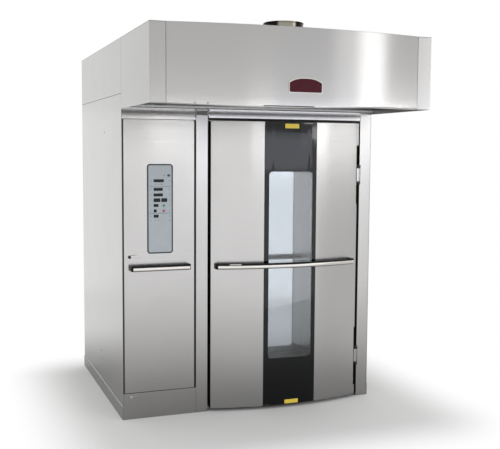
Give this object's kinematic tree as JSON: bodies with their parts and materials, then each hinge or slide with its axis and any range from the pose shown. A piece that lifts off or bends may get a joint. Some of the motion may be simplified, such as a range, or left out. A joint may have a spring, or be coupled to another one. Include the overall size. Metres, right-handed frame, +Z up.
{
  "type": "rotating rack oven",
  "caption": "Free-standing stainless steel rack oven with a bowed main door, a black glass strip, a control compartment door and a bowed canopy hood with a round flue collar.",
  "frame": {"origin": "on the floor, under the middle of the whole oven's bounding box", "axes": "+Z up; -Y towards the person in front of the doors; +X to that person's right, where the main door is hinged"},
  "size_m": [1.838, 2.3979, 2.592],
  "materials": {
    "brushed_stainless": "brushed stainless steel, fine grain",
    "polished_stainless": "polished stainless steel",
    "galvanised_steel": "galvanised sheet",
    "dark_steel": "blackened steel",
    "cast_iron": "as cast",
    "black_grip": "satin moulded",
    "black_glass": "toughened glass with a black border",
    "clear_glass": "clear heat-resistant glass",
    "silicone_rubber": "matte silicone",
    "mineral_wool": "pressed mineral wool",
    "foil_board": "foil-faced insulation board",
    "motor_paint": "semi-gloss enamel",
    "grey_overlay": "printed membrane sheet",
    "black_plastic": "gloss moulded",
    "green_plastic": "moulded key cap",
    "red_plastic": "moulded key cap",
    "dark_red_paint": "semi-gloss enamel"
  },
  "bodies": {
    "oven": {"side_panel_left": "brushed_stainless", "side_panel_right": "brushed_stainless", "upper_side_panel_left": "brushed_stainless", "upper_side_panel_right": "brushed_stainless", "base_frame": "galvanised_steel", "rear_panel": "brushed_stainless", "roof_panel": "brushed_stainless", "attic_front_panel": "brushed_stainless", "mullion_post": "brushed_stainless", "right_post": "brushed_stainless", "fascia_over_controls": "brushed_stainless", "fascia_over_door": "brushed_stainless", "kick_plate": "brushed_stainless", "hood_side_left": "brushed_stainless", "hood_side_right": "brushed_stainless", "hood_front_panel": "brushed_stainless", "hood_roof": "brushed_stainless", "blank_plate": "dark_red_paint", "flue_collar": "brushed_stainless", "control_door_hinge_rod": "dark_steel", "lower_hinge_bracket": "dark_steel", "upper_hinge_bracket": "dark_steel", "chamber_liner": "brushed_stainless", "chamber_floor": "brushed_stainless", "chamber_ceiling": "brushed_stainless", "jamb_frame": "brushed_stainless", "chamber_lamp": "clear_glass", "air_louvre_panel": "brushed_stainless", "insulation_jacket": "mineral_wool", "heat_exchanger": "dark_steel", "burner": "motor_paint", "steam_generator": "cast_iron", "blower_inlet_plate": "galvanised_steel", "blower_motor": "motor_paint", "bearing_housing": "cast_iron", "rack_drive_motor": "motor_paint"},
    "main_door": {"door_skin_left": "brushed_stainless", "door_skin_right": "brushed_stainless", "door_glass": "black_glass", "door_liner": "brushed_stainless", "door_core": "mineral_wool", "door_inner_pane": "clear_glass", "door_gasket": "silicone_rubber", "door_pull_grip": "black_grip", "door_pull_bar": "polished_stainless", "lower_hinge_knuckle": "polished_stainless", "upper_hinge_knuckle": "polished_stainless"},
    "control_door": {"control_door_skin": "brushed_stainless", "control_door_insulation": "foil_board", "control_panel_overlay": "grey_overlay", "control_unit": "black_plastic", "control_pull_grip": "black_grip", "control_pull_bar": "polished_stainless"},
    "latch": {"latch_lever": "polished_stainless"},
    "start_key_cap": {"start_key": "green_plastic"},
    "stop_key_cap": {"stop_key": "red_plastic"},
    "blower": {"blower_wheel": "galvanised_steel"},
    "rotator_gear": {"drive_gear": "dark_steel"},
    "rotator_pinion": {"drive_pinion": "dark_steel"},
    "rack_lift": {"lift_shaft": "polished_stainless"}
  },
  "joints": [
    {"name": "main_door_hinge", "type": "hinge", "parent": "oven", "child": "main_door", "pos_m": [0.816, -0.353, 1], "axis": [0, 0, 1], "range_deg": [0, 120]},
    {"name": "control_door_hinge", "type": "hinge", "parent": "oven", "child": "control_door", "pos_m": [-0.412, -0.341, 1.09], "axis": [0, 0, 1], "range_deg": [0, 90]},
    {"name": "latch_turn", "type": "hinge", "parent": "control_door", "child": "latch", "pos_m": [-0.865, -0.341, 1.097], "axis": [0, -1, 0], "range_deg": [0, 90]},
    {"name": "start_key_press", "type": "slide", "parent": "control_door", "child": "start_key_cap", "axis": [0, 1, 0], "range_m": [0, 0.0012], "stiffness_N_per_m": 400},
    {"name": "stop_key_press", "type": "slide", "parent": "control_door", "child": "stop_key_cap", "axis": [0, 1, 0], "range_m": [0, 0.0012], "stiffness_N_per_m": 400},
    {"name": "blower_spin", "type": "hinge", "parent": "oven", "child": "blower", "pos_m": [-0.615, 0.659, 1.85], "axis": [0, 0, 1], "continuous": true},
    {"name": "rotator_gear_spin", "type": "hinge", "parent": "oven", "child": "rotator_gear", "pos_m": [0.241, 0.399, 2.135], "axis": [0, 0, 1], "continuous": true},
    {"name": "rotator_pinion_spin", "type": "hinge", "parent": "oven", "child": "rotator_pinion", "pos_m": [0.0965, 0.399, 2.135], "axis": [0, 0, 1], "continuous": true},
    {"name": "rack_lift_slide", "type": "slide", "parent": "rotator_gear", "child": "rack_lift", "axis": [0, 0, 1], "range_m": [0, 0.05]}
  ],
  "couplings": [
    {"joint": "rotator_pinion_spin", "follows": "rotator_gear_spin", "ratio": -3}
  ]
}
